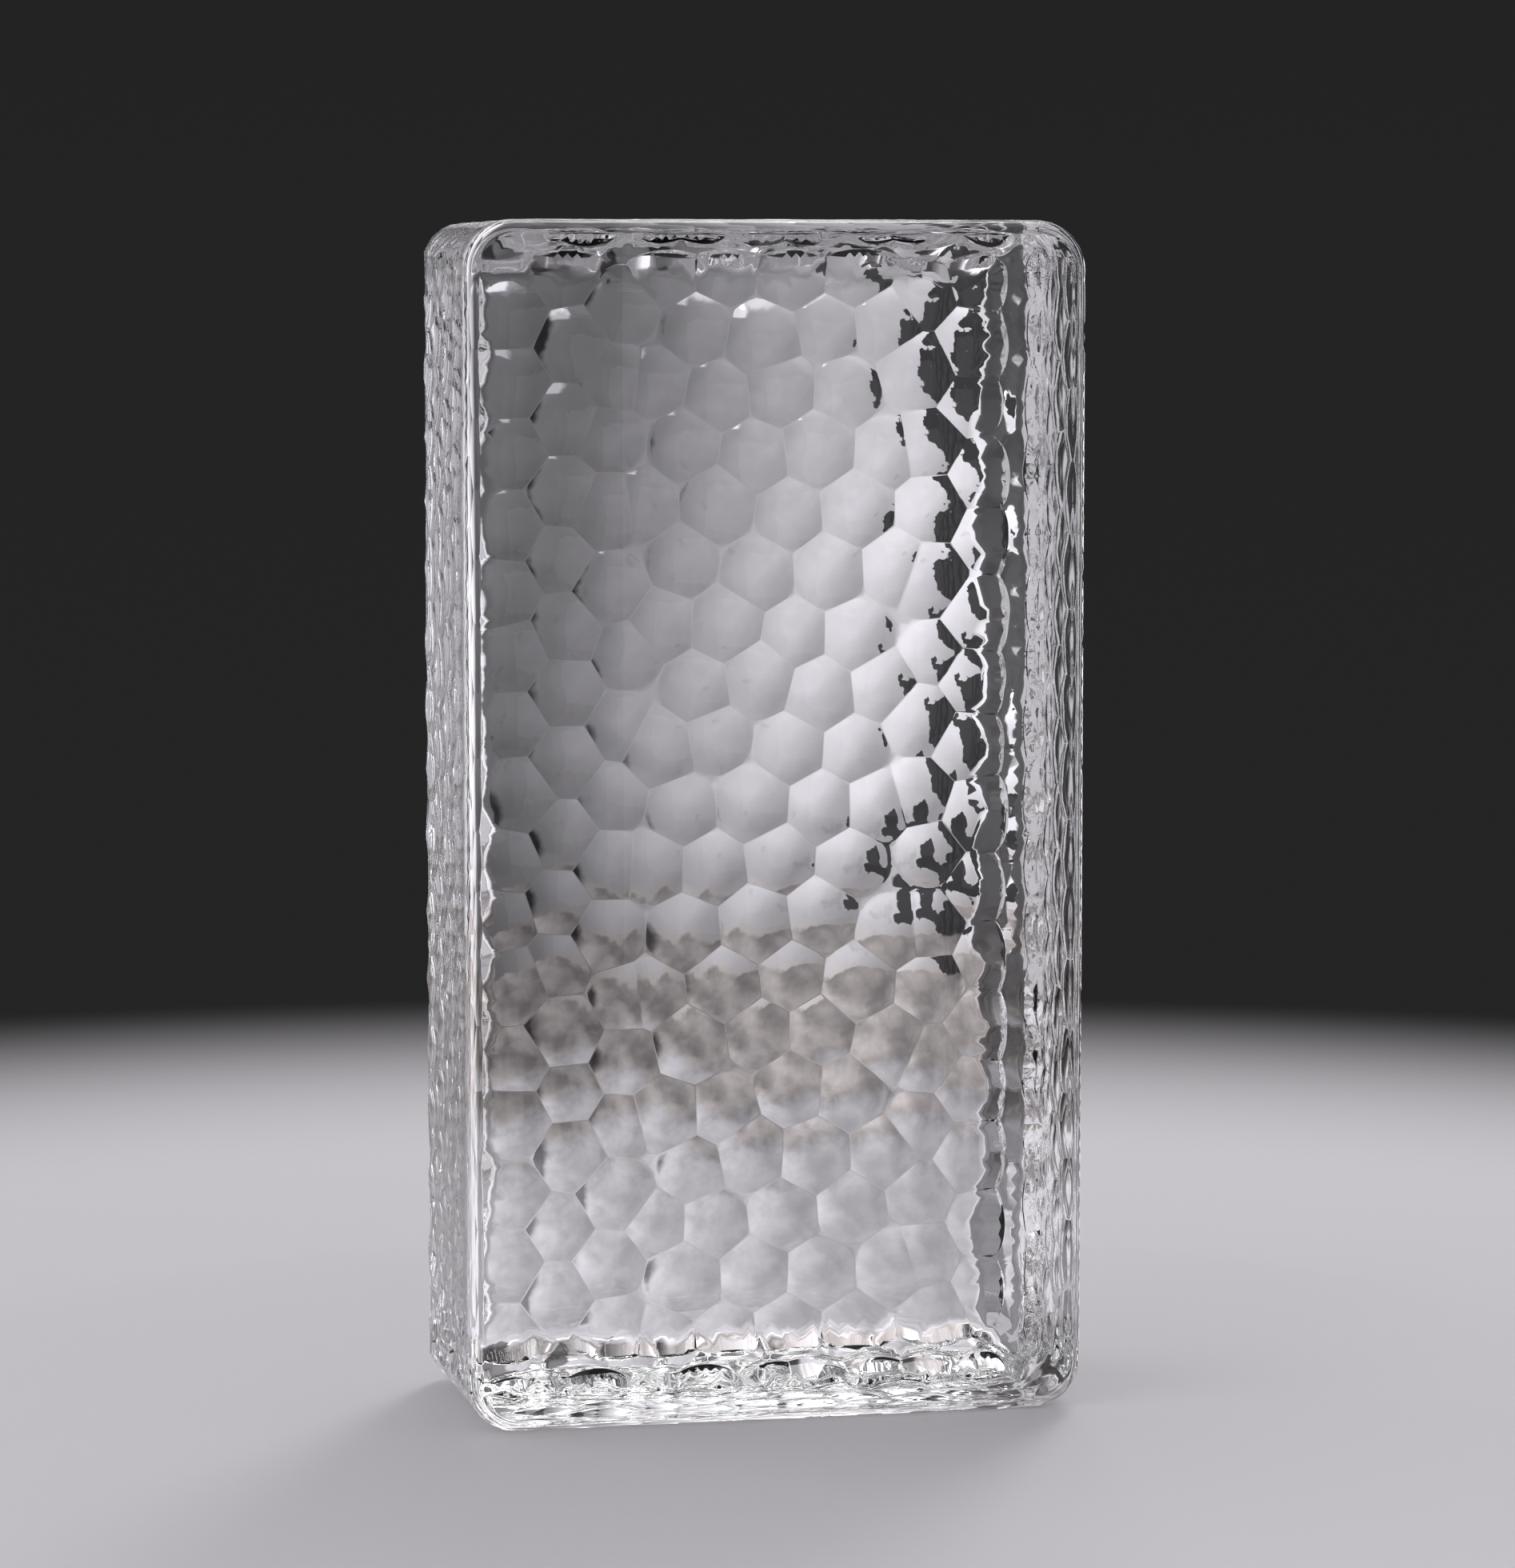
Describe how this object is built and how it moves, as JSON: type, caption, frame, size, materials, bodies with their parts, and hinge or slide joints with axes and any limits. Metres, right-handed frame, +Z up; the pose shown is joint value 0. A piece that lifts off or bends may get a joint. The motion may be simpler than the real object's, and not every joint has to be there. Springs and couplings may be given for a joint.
{
  "type": "solid cast glass block",
  "caption": "Solid clear cast glass block, upright on one end, with a smooth polished face and a honeycomb of shallow dishes on its back, sides and ends.",
  "frame": {"origin": "middle of the block's footprint, on the level that its lower end stands on", "axes": "+Z up along the block's length, +X across its width, -Y out of the smooth face"},
  "size_m": [0.1, 0.05, 0.19],
  "materials": {
    "clear_glass": "colourless clear glass, fire-polished smooth face, glossy mould-pressed honeycomb on the other faces"
  },
  "bodies": {
    "root": {"glass_block": "clear_glass"}
  },
  "joints": []
}
